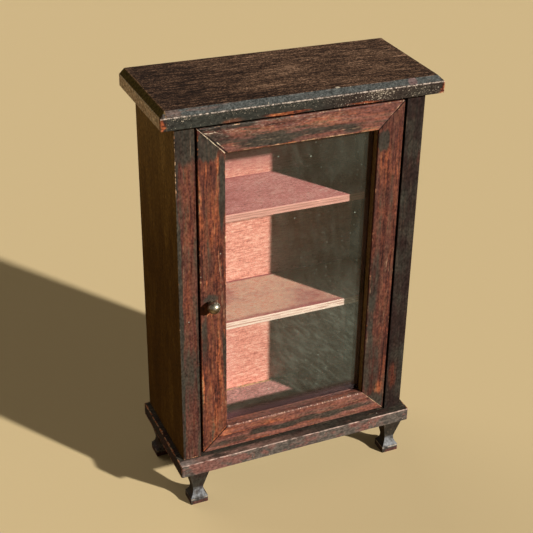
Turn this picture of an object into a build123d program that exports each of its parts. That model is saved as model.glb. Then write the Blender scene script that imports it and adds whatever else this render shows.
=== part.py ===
from build123d import *
import math
import os

# A small free-standing display case for thimbles: a dark stained wooden case on four coved
# feet, with two fixed shelves and a mitred, glazed door that turns on two hidden pins at its
# right end. Millimetres, +Z up, the front faces -Y. The origin is on the ground, under the
# middle of the whole object's box.

# ---- Case ----
CASE_WIDTH = 102.7          # over the two side boards
CASE_DEPTH = 45.1           # front edge of the sides to the flush back
CASE_HEIGHT = 149.1         # between the base board and the top board
SIDE_THICKNESS = 7.9
BACK_THICKNESS = 3.2
SHELF_THICKNESS = 3.2
SHELF_SETBACK = 10.1        # shelf's front edge behind the case's front, just clear of the door
LOWER_SHELF_HEIGHT = 56.4   # shelf tops above the case floor
UPPER_SHELF_HEIGHT = 105.4
ARRIS_RADIUS = 0.3          # softened long edges of the boards

# ---- Top and base boards ----
TOP_THICKNESS = 6.9
TOP_SIDE_OVERHANG = 5.8
TOP_FRONT_OVERHANG = 3.8
TOP_BEVEL = 2.2             # 45 degree bevel round the front and the two ends
BASE_THICKNESS = 5.8
BASE_SIDE_OVERHANG = 2.4
BASE_FRONT_OVERHANG = 4.2
BASE_CORNER_RADIUS = 0.9

# ---- Feet: square blocks, coved alike on all four sides ----
FOOT_HEIGHT = 16.2
FOOT_TOP_WIDTH = 8.6
FOOT_WAIST_WIDTH = 4.4
FOOT_PAD_WIDTH = 7.5
FOOT_WAIST_DROP = 9.4       # narrowest place below the base board
FOOT_COVE_RADIUS = 5.2
FOOT_END_INSET = 3.5        # the front feet, from the base board's ends
FOOT_BACK_END_INSET = 0.6   # the back feet, from the same ends
FOOT_BACK_INSET = 3.8       # from the base board's back; the front feet stand flush

# ---- Door ----
DOOR_SIDE_CLEARANCE = 0.9   # to each side board
DOOR_LOWER_GAP = 1.1        # to the base board
DOOR_UPPER_GAP = 2.4        # to the top board
DOOR_THICKNESS = 9.5
STICK_WIDTH = 10.8          # width of each stile and rail
GLASS_THICKNESS = 1.6       # in a groove along the middle of each stick
GROOVE_DEPTH = 2.3
GLASS_FACE_PLAY = 0.05
GLASS_EDGE_PLAY = 0.3
STICK_ARRIS = 0.4

# ---- Hinge pins ----
HINGE_PIN_RADIUS = 0.6
HINGE_EDGE_INSET = 2.2      # axis from the door's right edge
HINGE_FACE_INSET = 2.0      # axis behind the door's face
HINGE_PIN_IN_DOOR = 8.0
HINGE_PIN_IN_BOARD = 3.8
HINGE_RUNNING_CLEARANCE = 0.05
HINGE_END_CLEARANCE = 0.5
WASHER_RADIUS = 1.7
WASHER_PLAY = 0.05

# ---- Knob: a turned ball on a short neck, with a shank in the left stile ----
KNOB_RADIUS = 2.6
KNOB_STAND_OFF = 3.0        # ball's centre in front of the door
KNOB_NECK_RADIUS = 1.1
KNOB_COLLAR_RADIUS = 1.7
KNOB_COLLAR_THICKNESS = 0.5
KNOB_SHANK_RADIUS = 0.6
KNOB_SHANK_LENGTH = 5.0
KNOB_EDGE_INSET = 4.5       # from the door's left edge
KNOB_HEIGHT = 72.0          # above the door's bottom edge

# ---- Dowels and pins, fixed in their holes ----
FIXED_FIT = 0.02            # radial clearance of a glued dowel or a driven pin
HOLE_END_CLEARANCE = 0.3
DOWEL_RADIUS = 1.5
DOWEL_IN_TOP = 4.0
DOWEL_IN_SIDE = 7.0
DOWEL_SETBACKS = (11.0, 34.0)
PIN_RADIUS = 0.6
PIN_HEAD_RADIUS = 1.2
PIN_HEAD_THICKNESS = 0.5
BASE_PIN_IN_SIDE = 8.0
BASE_PIN_SETBACKS = (10.0, 27.0)
FOOT_PIN_IN_FOOT = 6.0
FOOT_PIN_SETBACK = 1.5      # behind the foot's middle
BACK_PIN_RADIUS = 0.5
BACK_PIN_HEAD_RADIUS = 1.0
BACK_PIN_IN_SHELF = 7.0
BACK_PIN_HALF_SPACING = 26.0
CORNER_PIN_RADIUS = 0.5
CORNER_PIN_LENGTH = 12.0

# ---- Places that follow from the sizes ----
case_half_width = CASE_WIDTH / 2
inner_half_width = case_half_width - SIDE_THICKNESS
top_half_width = case_half_width + TOP_SIDE_OVERHANG
base_half_width = case_half_width + BASE_SIDE_OVERHANG
front_reach = max(KNOB_STAND_OFF + KNOB_RADIUS, TOP_FRONT_OVERHANG, BASE_FRONT_OVERHANG)
case_front = (front_reach - CASE_DEPTH) / 2
case_back = case_front + CASE_DEPTH
back_panel_face = case_back - BACK_THICKNESS
base_front = case_front - BASE_FRONT_OVERHANG
base_underside = FOOT_HEIGHT
floor_level = base_underside + BASE_THICKNESS
top_underside = floor_level + CASE_HEIGHT
side_middle = case_half_width - SIDE_THICKNESS / 2

door_left = -inner_half_width + DOOR_SIDE_CLEARANCE
door_right = inner_half_width - DOOR_SIDE_CLEARANCE
door_bottom = floor_level + DOOR_LOWER_GAP
door_top = top_underside - DOOR_UPPER_GAP
door_width = door_right - door_left
door_height = door_top - door_bottom
groove_width = GLASS_THICKNESS + 2 * GLASS_FACE_PLAY
hinge_x = door_right - HINGE_EDGE_INSET
hinge_y = case_front + HINGE_FACE_INSET
knob_x = door_left + KNOB_EDGE_INSET
knob_z = door_bottom + KNOB_HEIGHT

foot_half_top = FOOT_TOP_WIDTH / 2
foot_front_x = base_half_width - FOOT_END_INSET - foot_half_top
foot_back_x = base_half_width - FOOT_BACK_END_INSET - foot_half_top
foot_front_y = base_front + foot_half_top
foot_back_y = case_back - FOOT_BACK_INSET - foot_half_top

SIDES = (-1, 1)
TO_FRONT = (0, -1, 0)
TO_BACK = (0, 1, 0)
UPWARD = (0, 0, 1)
DOWNWARD = (0, 0, -1)


def box_between(low, high):
    """A box from its lowest corner to its highest one."""
    size = [top - bottom for bottom, top in zip(low, high)]
    return Pos(*low) * Box(*size, align=(Align.MIN, Align.MIN, Align.MIN))


def rod(start, direction, radius, length):
    """A round rod from its start along a direction."""
    plane = Plane(origin=start, z_dir=direction)
    return plane * Cylinder(radius, length, align=(Align.CENTER, Align.CENTER, Align.MIN))


def joined(solids):
    """Solids fused into one shape to cut with."""
    shape = solids[0]
    for solid in solids[1:]:
        shape = shape + solid
    return shape


def edges_along(shape, axis, *sides):
    """Edges parallel to an axis that lie at the shape's limit on each given side."""
    chosen = shape.edges().filter_by(axis)
    for side_axis, side in sides:
        groups = chosen.group_by(side_axis)
        chosen = groups[0] if side < 0 else groups[-1]
    return chosen


def headed_pin(head_top, direction, head_radius, radius, length):
    """A pin driven along a direction, its flat head flush with the surface it went in at."""
    head = rod(head_top, direction, head_radius, PIN_HEAD_THICKNESS)
    return head + rod(head_top, direction, radius, length)


def headed_hole(head_top, direction, head_radius, radius, length):
    """The hole for a headed pin, a fit larger all round."""
    sink = rod(head_top, direction, head_radius + FIXED_FIT, PIN_HEAD_THICKNESS)
    return sink + rod(head_top, direction, radius + FIXED_FIT, length + HOLE_END_CLEARANCE)


# ---- Where each pin and dowel goes ----
dowel_feet = [
    (side * side_middle, case_front + setback, top_underside - DOWEL_IN_SIDE)
    for side in SIDES
    for setback in DOWEL_SETBACKS
]
dowel_length = DOWEL_IN_SIDE + DOWEL_IN_TOP
base_pin_heads = [
    (side * side_middle, case_front + setback, base_underside)
    for side in SIDES
    for setback in BASE_PIN_SETBACKS
]
base_pin_length = BASE_THICKNESS + BASE_PIN_IN_SIDE
foot_places = {
    "foot_front_left": (-foot_front_x, foot_front_y),
    "foot_front_right": (foot_front_x, foot_front_y),
    "foot_back_left": (-foot_back_x, foot_back_y),
    "foot_back_right": (foot_back_x, foot_back_y),
}
foot_pin_heads = [
    (x, y + FOOT_PIN_SETBACK, floor_level) for x, y in foot_places.values()
]
foot_pin_length = BASE_THICKNESS + FOOT_PIN_IN_FOOT
shelf_heights = {"lower_shelf": LOWER_SHELF_HEIGHT, "upper_shelf": UPPER_SHELF_HEIGHT}
back_pin_heads = [
    (side * BACK_PIN_HALF_SPACING, case_back, floor_level + height - SHELF_THICKNESS / 2)
    for height in shelf_heights.values()
    for side in SIDES
]
back_pin_length = BACK_THICKNESS + BACK_PIN_IN_SHELF
corner_pin_starts = [
    (edge_x, inward, z)
    for edge_x, inward in ((door_left, 1), (door_right, -1))
    for z in (door_bottom + STICK_WIDTH / 2, door_top - STICK_WIDTH / 2)
]
corner_pin_y = case_front + DOOR_THICKNESS / 2


def dowels(radius, end_play):
    """The four blind dowels between the sides and the top board, or their holes."""
    length = dowel_length + 2 * end_play
    return [
        rod((x, y, z - end_play), UPWARD, radius, length) for x, y, z in dowel_feet
    ]


def headed_set(maker, heads, direction, head_radius, radius, length):
    """One headed pin, or one hole, at each head's place."""
    return [maker(head, direction, head_radius, radius, length) for head in heads]


def base_pins(maker):
    return headed_set(
        maker, base_pin_heads, UPWARD, PIN_HEAD_RADIUS, PIN_RADIUS, base_pin_length)


def foot_pins(maker):
    return headed_set(
        maker, foot_pin_heads, DOWNWARD, PIN_HEAD_RADIUS, PIN_RADIUS, foot_pin_length)


def back_pins(maker):
    return headed_set(
        maker, back_pin_heads, TO_FRONT, BACK_PIN_HEAD_RADIUS, BACK_PIN_RADIUS, back_pin_length)


def corner_pins(radius, end_play):
    """The brads driven across the door's mitres from its edges, or their holes."""
    return [
        rod((x, corner_pin_y, z), (inward, 0, 0), radius, CORNER_PIN_LENGTH + end_play)
        for x, inward, z in corner_pin_starts
    ]


def hinge_pin(board_face, into_board):
    """A hinge pin fixed in a board and standing into the door's end."""
    gap = DOOR_LOWER_GAP if into_board < 0 else DOOR_UPPER_GAP
    start = (hinge_x, hinge_y, board_face + into_board * HINGE_PIN_IN_BOARD)
    length = HINGE_PIN_IN_BOARD + gap + HINGE_PIN_IN_DOOR
    return rod(start, (0, 0, -into_board), HINGE_PIN_RADIUS, length)


def hinge_socket(board_face, into_board):
    """The blind hole in a board that holds a hinge pin."""
    start = (hinge_x, hinge_y, board_face)
    depth = HINGE_PIN_IN_BOARD + HOLE_END_CLEARANCE
    return rod(start, (0, 0, into_board), HINGE_PIN_RADIUS + FIXED_FIT, depth)


def hinge_bores():
    """The two holes in the door's ends that run on the hinge pins."""
    radius = HINGE_PIN_RADIUS + HINGE_RUNNING_CLEARANCE
    depth = HINGE_PIN_IN_DOOR + HINGE_END_CLEARANCE
    return [
        rod((hinge_x, hinge_y, door_bottom), UPWARD, radius, depth),
        rod((hinge_x, hinge_y, door_top), DOWNWARD, radius, depth),
    ]


# ---- Boards ----
def top_board():
    low = (-top_half_width, case_front - TOP_FRONT_OVERHANG, top_underside)
    high = (top_half_width, case_back, top_underside + TOP_THICKNESS)
    board = box_between(low, high)
    upper_front = edges_along(board, Axis.X, (Axis.Z, 1), (Axis.Y, -1))
    upper_ends = edges_along(board, Axis.Y, (Axis.Z, 1))
    board = chamfer(upper_front + upper_ends, TOP_BEVEL)
    lower_front = edges_along(board, Axis.X, (Axis.Z, -1), (Axis.Y, -1))
    lower_ends = edges_along(board, Axis.Y, (Axis.Z, -1))
    board = fillet(lower_front + lower_ends, ARRIS_RADIUS)
    board -= joined(dowels(DOWEL_RADIUS + FIXED_FIT, HOLE_END_CLEARANCE))
    return board - hinge_socket(top_underside, 1)


def base_board():
    low = (-base_half_width, base_front, base_underside)
    high = (base_half_width, case_back, floor_level)
    board = box_between(low, high)
    board = fillet(edges_along(board, Axis.Z, (Axis.Y, -1)), BASE_CORNER_RADIUS)
    rims = board.faces().sort_by(Axis.Z)[-1].edges().filter_by(Axis.X)
    board = fillet(rims.sort_by(Axis.Y)[0], ARRIS_RADIUS)
    board -= joined(base_pins(headed_hole))
    board -= joined(foot_pins(headed_hole))
    return board - hinge_socket(floor_level, -1)


def side_panel(side):
    inner = side * inner_half_width
    outer = side * case_half_width
    low = (min(inner, outer), case_front, floor_level)
    high = (max(inner, outer), case_back, top_underside)
    board = box_between(low, high)
    front_edges = edges_along(board, Axis.Z, (Axis.Y, -1))
    back_outer = edges_along(board, Axis.Z, (Axis.Y, 1), (Axis.X, side))
    board = fillet(front_edges + back_outer, ARRIS_RADIUS)
    board -= joined(dowels(DOWEL_RADIUS + FIXED_FIT, HOLE_END_CLEARANCE))
    return board - joined(base_pins(headed_hole))


def back_panel():
    low = (-inner_half_width, back_panel_face, floor_level)
    high = (inner_half_width, case_back, top_underside)
    return box_between(low, high) - joined(back_pins(headed_hole))


def shelf(top_height):
    shelf_top = floor_level + top_height
    low = (-inner_half_width, case_front + SHELF_SETBACK, shelf_top - SHELF_THICKNESS)
    high = (inner_half_width, back_panel_face, shelf_top)
    board = box_between(low, high)
    board = fillet(edges_along(board, Axis.X, (Axis.Y, -1)), ARRIS_RADIUS)
    return board - joined(back_pins(headed_hole))


# ---- Feet ----
def tangent_point(corner, centre, radius):
    """Where a straight line from the corner first touches the circle on its near, lower side."""
    across = corner[0] - centre[0]
    up = corner[1] - centre[1]
    distance = math.hypot(across, up)
    bearing = math.atan2(up, across) + math.acos(radius / distance)
    return (centre[0] + radius * math.cos(bearing), centre[1] + radius * math.sin(bearing))


def foot_outline():
    """The foot's silhouette: a straight taper, a cove and a plain pad, alike left and right."""
    half_waist = FOOT_WAIST_WIDTH / 2
    half_pad = FOOT_PAD_WIDTH / 2
    waist_z = base_underside - FOOT_WAIST_DROP
    centre = (half_waist + FOOT_COVE_RADIUS, waist_z)
    top_corner = (foot_half_top, base_underside)
    cove_start = tangent_point(top_corner, centre, FOOT_COVE_RADIUS)
    reach = (centre[0] - half_pad) / FOOT_COVE_RADIUS
    tip = (half_pad, waist_z - FOOT_COVE_RADIUS * math.sqrt(1 - reach * reach))
    waist = (half_waist, waist_z)
    taper = Line(top_corner, cove_start)
    cove = ThreePointArc(cove_start, waist, tip)
    pad = Polyline(tip, (half_pad, 0), (0, 0))
    half = make_face(
        taper + cove + pad + Polyline((0, 0), (0, base_underside), top_corner))
    return half + mirror(half, Plane.YZ)


def foot(place):
    x, y = place
    outline = foot_outline()
    seen_from_front = extrude(Plane.XZ * outline, FOOT_TOP_WIDTH, both=True)
    seen_from_side = extrude(Plane.YZ * outline, FOOT_TOP_WIDTH, both=True)
    block = Pos(x, y, 0) * (seen_from_front & seen_from_side)
    return block - joined(foot_pins(headed_hole))


# ---- Door ----
def stick_section():
    """Cross-section of a stile or rail: outer edge on Z = 0, face on Y = 0, grooved inside."""
    blank = Pos(STICK_WIDTH / 2, DOOR_THICKNESS / 2) * Rectangle(STICK_WIDTH, DOOR_THICKNESS)
    blank = fillet(blank.vertices(), STICK_ARRIS)
    groove = Pos(STICK_WIDTH, DOOR_THICKNESS / 2) * Rectangle(2 * GROOVE_DEPTH, groove_width)
    return blank - groove


def mitred_stick(length):
    """A grooved stick along X with its outer edge on Z = 0, mitred at both ends."""
    section_plane = Plane(origin=(0, 0, 0), x_dir=UPWARD, z_dir=(1, 0, 0))
    stick = extrude(section_plane * mirror(stick_section(), Plane.XZ), length)
    trapezium = Polyline(
        (0, 0), (length, 0), (length - STICK_WIDTH, STICK_WIDTH), (STICK_WIDTH, STICK_WIDTH),
        close=True)
    prism = extrude(Plane.XZ * make_face(trapezium), 2 * DOOR_THICKNESS, both=True)
    return stick & prism


def door_sticks():
    """The four sticks in their places round the door."""
    rail = mitred_stick(door_width)
    stile = mitred_stick(door_height)
    placed = {
        "door_bottom_rail": Pos(door_left, case_front, door_bottom) * rail,
        "door_top_rail": Pos(door_right, case_front, door_top) * Rot(0, 180, 0) * rail,
        "door_left_stile": Pos(door_left, case_front, door_top) * Rot(0, 90, 0) * stile,
        "door_right_stile": Pos(door_right, case_front, door_bottom) * Rot(0, -90, 0) * stile,
    }
    holes = joined(hinge_bores() + corner_pins(CORNER_PIN_RADIUS + FIXED_FIT, HOLE_END_CLEARANCE))
    shank_length = KNOB_SHANK_LENGTH + HOLE_END_CLEARANCE
    shank_hole = rod(
        (knob_x, case_front, knob_z), TO_BACK, KNOB_SHANK_RADIUS + FIXED_FIT, shank_length)
    return {name: stick - (holes + shank_hole) for name, stick in placed.items()}


def door_glass():
    edge_inset = STICK_WIDTH - GROOVE_DEPTH + GLASS_EDGE_PLAY
    face = case_front + (DOOR_THICKNESS - GLASS_THICKNESS) / 2
    low = (door_left + edge_inset, face, door_bottom + edge_inset)
    high = (door_right - edge_inset, face + GLASS_THICKNESS, door_top - edge_inset)
    return box_between(low, high)


def knob():
    door_face = (knob_x, case_front, knob_z)
    ball = Pos(knob_x, case_front - KNOB_STAND_OFF, knob_z) * Sphere(KNOB_RADIUS)
    neck = rod(door_face, TO_FRONT, KNOB_NECK_RADIUS, KNOB_STAND_OFF)
    collar = rod(door_face, TO_FRONT, KNOB_COLLAR_RADIUS, KNOB_COLLAR_THICKNESS)
    shank = rod(door_face, TO_BACK, KNOB_SHANK_RADIUS, KNOB_SHANK_LENGTH)
    return ball + neck + collar + shank


def lower_hinge_washer():
    """The washer that carries the door, a hair thinner than the gap under it."""
    thickness = DOOR_LOWER_GAP - WASHER_PLAY
    start = (hinge_x, hinge_y, floor_level)
    hole_radius = HINGE_PIN_RADIUS + HINGE_RUNNING_CLEARANCE
    return rod(start, UPWARD, WASHER_RADIUS, thickness) - rod(
        start, UPWARD, hole_radius, thickness)


parts = {
    "top_board": top_board(),
    "base_board": base_board(),
    "left_side_panel": side_panel(-1),
    "right_side_panel": side_panel(1),
    "back_panel": back_panel(),
    **{name: shelf(height) for name, height in shelf_heights.items()},
    **{name: foot(place) for name, place in foot_places.items()},
    **door_sticks(),
    "door_glass": door_glass(),
    "knob": knob(),
    "upper_hinge_pin": hinge_pin(top_underside, 1),
    "lower_hinge_pin": hinge_pin(floor_level, -1),
    "lower_hinge_washer": lower_hinge_washer(),
    "door_corner_pins": Compound(children=corner_pins(CORNER_PIN_RADIUS, 0)),
    "top_board_dowels": Compound(children=dowels(DOWEL_RADIUS, 0)),
    "base_board_pins": Compound(children=base_pins(headed_pin)),
    "foot_pins": Compound(children=foot_pins(headed_pin)),
    "back_panel_pins": Compound(children=back_pins(headed_pin)),
}

os.makedirs("parts", exist_ok=True)
for name, shape in parts.items():
    export_step(shape, f"parts/{name}.step")
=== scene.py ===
import math

import bpy
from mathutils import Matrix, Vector


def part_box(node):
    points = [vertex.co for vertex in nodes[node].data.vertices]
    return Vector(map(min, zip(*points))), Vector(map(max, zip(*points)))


# The looks of a small thimble display case. Sizes and places below are in millimetres, in the
# frame's own axes: X to the right, Y to the back and Z up. Blender's objects are in metres.

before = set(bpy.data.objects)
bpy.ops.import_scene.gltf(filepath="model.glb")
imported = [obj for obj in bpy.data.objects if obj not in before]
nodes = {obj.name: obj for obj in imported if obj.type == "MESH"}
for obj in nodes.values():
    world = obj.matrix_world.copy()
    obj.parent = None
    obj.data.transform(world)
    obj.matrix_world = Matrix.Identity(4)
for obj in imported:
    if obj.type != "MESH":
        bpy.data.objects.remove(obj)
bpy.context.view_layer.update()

MM = 0.001
BLACK = (0, 0, 0, 1)


def span(node):
    """Lowest and highest corner of a node, in millimetres."""
    low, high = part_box(node)
    return [c / MM for c in low], [c / MM for c in high]


def srgb(red, green, blue):
    """A colour written as 0 to 255 screen values, as the linear colour that a shader takes."""
    channels = []
    for value in (red, green, blue):
        share = value / 255
        channels.append(share / 12.92 if share <= 0.04045 else ((share + 0.055) / 1.055) ** 2.4)
    return (*channels, 1.0)


# ---- Places that the materials need ----
top_low, top_high = span("top_board")
base_low, base_high = span("base_board")
left_low, left_high = span("left_side_panel")
back_low, back_high = span("back_panel")
stile_low, stile_high = span("door_left_stile")
right_stile_low = span("door_right_stile")[0]
rail_low, rail_high = span("door_top_rail")
lower_rail_low, lower_rail_high = span("door_bottom_rail")
CASE_FRONT = left_low[1]
INNER_HALF_WIDTH = -left_high[0]
OUTER_HALF_WIDTH = -left_low[0]
FLOOR_LEVEL = base_high[2]
DOOR_BACK = stile_high[1]
DOOR_LEFT, DOOR_RIGHT = stile_low[0], rail_high[0]
DOOR_TOP, DOOR_BOTTOM = rail_high[2], lower_rail_low[2]
UPPER_SHELF_TOP = span("upper_shelf")[1][2]
GLASS_BACK = span("door_glass")[1][1]
TOP_BEVEL = 2.2
BEVEL_FOOT = top_high[2] - TOP_BEVEL
BEVEL_BACK = top_low[1] + TOP_BEVEL
LEFT_BEVEL_END = top_low[0] + TOP_BEVEL


# ---- Spots: a centre, radii and a weight. None takes in the whole piece along its axis ----
def front(x, z, half_width, half_height, weight):
    """A spot on a face that looks forward or back."""
    return ((x, None, z), (half_width, 1, half_height), weight)


def above(x, y, half_width, half_depth, weight):
    """A spot on a face that looks up or down."""
    return ((x, y, None), (half_width, half_depth, 1), weight)


# ---- Node trees ----
GRAIN_STRETCH = 13.0
AXIS = {"x": 0, "y": 1, "z": 2}


class Tree:
    """The nodes of a material or a world. Most methods take sockets or plain values and give a
    socket."""

    def __init__(self, owner, kind):
        owner.use_nodes = True
        self.owner = owner
        self.kind = kind
        self.nodes = owner.node_tree.nodes
        self.links = owner.node_tree.links
        self.nodes.clear()

    def add(self, kind, inputs, **settings):
        """A new node, whose inputs are set or linked by their names or numbers."""
        node = self.nodes.new("ShaderNode" + kind)
        for name, value in settings.items():
            setattr(node, name, value)
        for key, value in inputs.items():
            if isinstance(value, bpy.types.NodeSocket):
                self.links.new(value, node.inputs[key])
            else:
                node.inputs[key].default_value = value
        return node

    def out(self, kind, inputs, **settings):
        """A new node's first output."""
        return self.add(kind, inputs, **settings).outputs[0]

    def math(self, operation, *values, clamp=False):
        return self.out("Math", dict(enumerate(values)), operation=operation, use_clamp=clamp)

    def vector(self, operation, *values):
        return self.out("VectorMath", dict(enumerate(values)), operation=operation)

    def scaled(self, vector, factor):
        return self.out("VectorMath", {0: vector, 3: factor}, operation="SCALE")

    def axes(self, vector):
        return self.add("SeparateXYZ", {0: vector}).outputs

    def rays(self):
        """The kinds of ray that a point may be seen by."""
        return self.add("LightPath", {}).outputs

    def absolute(self, value):
        return self.math("ABSOLUTE", value)

    def minus(self, first, second):
        return self.math("SUBTRACT", first, second)

    def larger(self, first, second):
        return self.math("MAXIMUM", first, second)

    def line(self, value, slope, start):
        """start, plus slope times the value."""
        return self.math("MULTIPLY_ADD", value, slope, start)

    def chain(self, operation, values):
        result = values[0]
        for value in values[1:]:
            result = self.math(operation, result, value)
        return result

    def total(self, *values):
        return self.chain("ADD", values)

    def times(self, *values):
        return self.chain("MULTIPLY", values)

    def rise(self, value, low, high, top=1.0):
        """0 at low and top at high, with a smooth step between. low may be the larger."""
        flip = low > high
        ends = {1: high, 2: low, 3: top, 4: 0.0} if flip else {1: low, 2: high, 3: 0.0, 4: top}
        return self.out("MapRange", {0: value, **ends}, interpolation_type="SMOOTHSTEP")

    def near(self, value, target, reach):
        """1 where a value is at its target, and 0 from a reach away."""
        return self.rise(self.absolute(self.minus(value, target)), reach, 0.4 * reach)

    def mix(self, share, first, second):
        """A colour that goes from first to second as share goes from 0 to 1."""
        node = self.add("Mix", {0: share, 6: first, 7: second}, data_type="RGBA", blend_type="MIX")
        return node.outputs[2]

    def paint(self, colour, coat, *shares):
        """A colour with a coat over it, which covers it by the product of the shares."""
        return self.mix(self.times(*shares), colour, coat)

    def finish(self, shader):
        """Ends the tree in a shader, and gives the material or the world."""
        self.add("Output" + self.kind, {"Surface": shader})
        return self.owner


class MaterialTree(Tree):
    """The nodes of a new material. place, x, y and z are the shaded point's, in millimetres."""

    def __init__(self, name):
        super().__init__(bpy.data.materials.new(name), "Material")
        self.place = self.scaled(self.add("TexCoord", {}).outputs["Object"], 1 / MM)
        self.x, self.y, self.z = self.axes(self.place)

    def drawn(self, axis, stretch=GRAIN_STRETCH):
        """The place, drawn out along an axis as wood grain is."""
        factors = [1.0, 1.0, 1.0]
        factors[AXIS[axis]] = 1 / stretch
        return self.vector("MULTIPLY", self.place, factors)

    def noise(self, vector, size, seed=0.0, detail=3.0, roughness=0.55, distortion=0.0,
              output="Fac"):
        """Soft noise about 0.5 with features of a size in the vector's own units."""
        inputs = {"Vector": vector, "W": seed, "Scale": 1 / size, "Detail": detail,
                  "Roughness": roughness, "Distortion": distortion}
        return self.add("TexNoise", inputs, noise_dimensions="4D").outputs[output]

    def flecks(self, spacing, radius, picked, seed=0.0):
        """Scattered specks of a radius, one in some of the cells of a spacing."""
        shifted = self.vector("ADD", self.place, (seed, 1.7 * seed, 0.6 * seed))
        cell = self.add("TexVoronoi", {"Vector": shifted, "Scale": 1 / spacing}).outputs
        chosen = self.rise(self.axes(cell["Color"])[0], 1 - picked, 1.02 - picked)
        reach = radius / spacing
        return self.times(self.rise(cell["Distance"], 1.3 * reach, 0.6 * reach), chosen)

    def patches(self, spots, softness=0.45, place=None):
        """The sum of soft oval spots, each times its weight."""
        points = self.place if place is None else place
        result = 0.0
        for centre, radii, weight in spots:
            scale = [0.0 if c is None else 1 / r for c, r in zip(centre, radii)]
            shift = [0.0 if c is None else -c / r for c, r in zip(centre, radii)]
            offset = self.vector("MULTIPLY_ADD", points, scale, shift)
            length = self.add("VectorMath", {0: offset}, operation="LENGTH").outputs["Value"]
            share = self.rise(length, 1 + softness, 1 - softness)
            result = self.line(share, weight, result)
        return result

    def ramp(self, value, stops):
        """A colour read off stops of (place, colour)."""
        node = self.add("ValToRGB", {0: value})
        elements = node.color_ramp.elements
        while len(elements) < len(stops):
            elements.new(0.5)
        for element, (place, colour) in zip(elements, stops):
            element.position = place
            element.color = colour
        return node.outputs[0]

    def bump(self, height, strength, depth):
        """The normal of a surface that follows a height, with a depth in millimetres."""
        return self.out("Bump", {"Height": height, "Strength": strength, "Distance": depth * MM})


# ---- Stained wood ----
FLECK_STRETCH = 1.5
BARE_WOOD = [
    (0.00, srgb(34, 20, 18)),
    (0.22, srgb(60, 32, 28)),
    (0.45, srgb(96, 50, 38)),
    (0.66, srgb(142, 76, 48)),
    (0.84, srgb(184, 104, 62)),
    (1.00, srgb(222, 160, 112)),
]
STAIN_GREEN_BLACK = srgb(58, 58, 51)
STAIN_BROWN_BLACK = srgb(40, 32, 30)
WORN_ARRIS = srgb(214, 178, 142)
WORN_ORANGE = srgb(176, 98, 54)
MILKY = srgb(178, 128, 118)
# Dark cracks along the mitres, and painted shade for the faces in the gaps beside the door
CRACK_AND_GAP_SHADE = srgb(14, 10, 9)
DUST = srgb(206, 196, 180)
CREAM = srgb(222, 206, 182)


class Board(MaterialTree):
    """A stained board's nodes, with the noises that its layers share."""

    def __init__(self, node, grain, seed):
        super().__init__("stained_" + node)
        self.low, self.high = span(node)
        self.grain = grain
        self.seed = seed
        self.grain_place = self.drawn(grain)
        self.fleck_place = self.drawn(grain, FLECK_STRETCH)
        ragged = self.noise(
            self.grain_place, 1.9, seed + 1.1, detail=4, roughness=0.7, output="Color")
        wander = self.scaled(self.vector("SUBTRACT", ragged, (0.5, 0.5, 0.5)), 6.0)
        self.ragged_place = self.vector("ADD", self.place, wander)
        self.fibre = self.noise(self.grain_place, 0.74, seed, detail=2, roughness=0.7)
        self.streak = self.noise(self.grain_place, 2.0, seed + 2.3, detail=4, distortion=0.4)
        self.cloud = self.noise(self.place, 12.0, seed + 3.7, detail=3)
        self.grit = self.noise(self.fleck_place, 0.90, seed + 5.1, detail=2, roughness=0.8)
        self.rub = self.noise(self.place, 3.2, seed + 7.9, detail=4, roughness=0.7)


def reddish_wood(board, spots, redness, haze):
    """The wood where its stain is gone, lighter in spots, with a milky haze along its streaks."""
    value = board.total(
        redness - 1.62,
        board.times(board.fibre, 1.60),
        board.times(board.streak, 0.80),
        board.times(board.grit, 0.85),
        board.times(board.patches(spots, place=board.ragged_place), 0.75))
    wood = board.ramp(value, BARE_WOOD)
    if haze:
        wood = board.paint(wood, MILKY, board.rise(board.streak, 0.25, 0.75), haze)
    return wood


def under_stain(board, wood, spots, darkness, green):
    """The wood under what is left of a near-black stain, which is whole in spots."""
    value = board.total(
        darkness - 1.70,
        board.times(board.streak, 1.1),
        board.times(board.cloud, 0.50),
        board.times(board.fibre, 1.20),
        board.times(board.grit, 0.60),
        board.patches(spots, place=board.ragged_place))
    cover = board.rise(value, 0.26, 0.82, top=0.94)
    greenness = board.total(
        board.times(board.cloud, 1.2), board.times(board.streak, 0.8), green - 0.92)
    stain = board.mix(
        board.rise(greenness, -0.25, 0.25), STAIN_BROWN_BLACK, STAIN_GREEN_BLACK)
    return board.mix(cover, wood, stain)


def scratches(board, colour, amount):
    """Pale hairline scratches along the grain."""
    hair = board.noise(board.drawn(board.grain, 14.0), 0.40, board.seed + 6.6, detail=2)
    where = board.noise(board.grain_place, 5.0, board.seed + 8.8, detail=3)
    return board.paint(
        colour, WORN_ARRIS, board.rise(hair, 0.60, 0.70), board.rise(where, 0.46, 0.60), amount)


def edge_distance(board):
    """How far a point on a box's face lies from the face's nearest edge."""
    parts = []
    for place, least, most in zip((board.x, board.y, board.z), board.low, board.high):
        middle, half = (least + most) / 2, (most - least) / 2
        parts.append(board.minus(half, board.absolute(board.minus(place, middle))))
    small, large = board.math("MINIMUM", *parts[:2]), board.larger(*parts[:2])
    return board.larger(small, board.math("MINIMUM", large, parts[2]))


def rubbed_arrises(board, spots, wear):
    """How far the stain is rubbed off the board's arrises, most of all in spots."""
    rubbed = board.total(board.rub, wear - 0.98, board.patches(spots))
    reach = board.line(rubbed, 3.0, 0.06)
    arris = board.rise(board.minus(edge_distance(board), reach), 0.26, -0.05)
    return board.times(arris, board.rise(rubbed, -0.06, 0.06))


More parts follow.
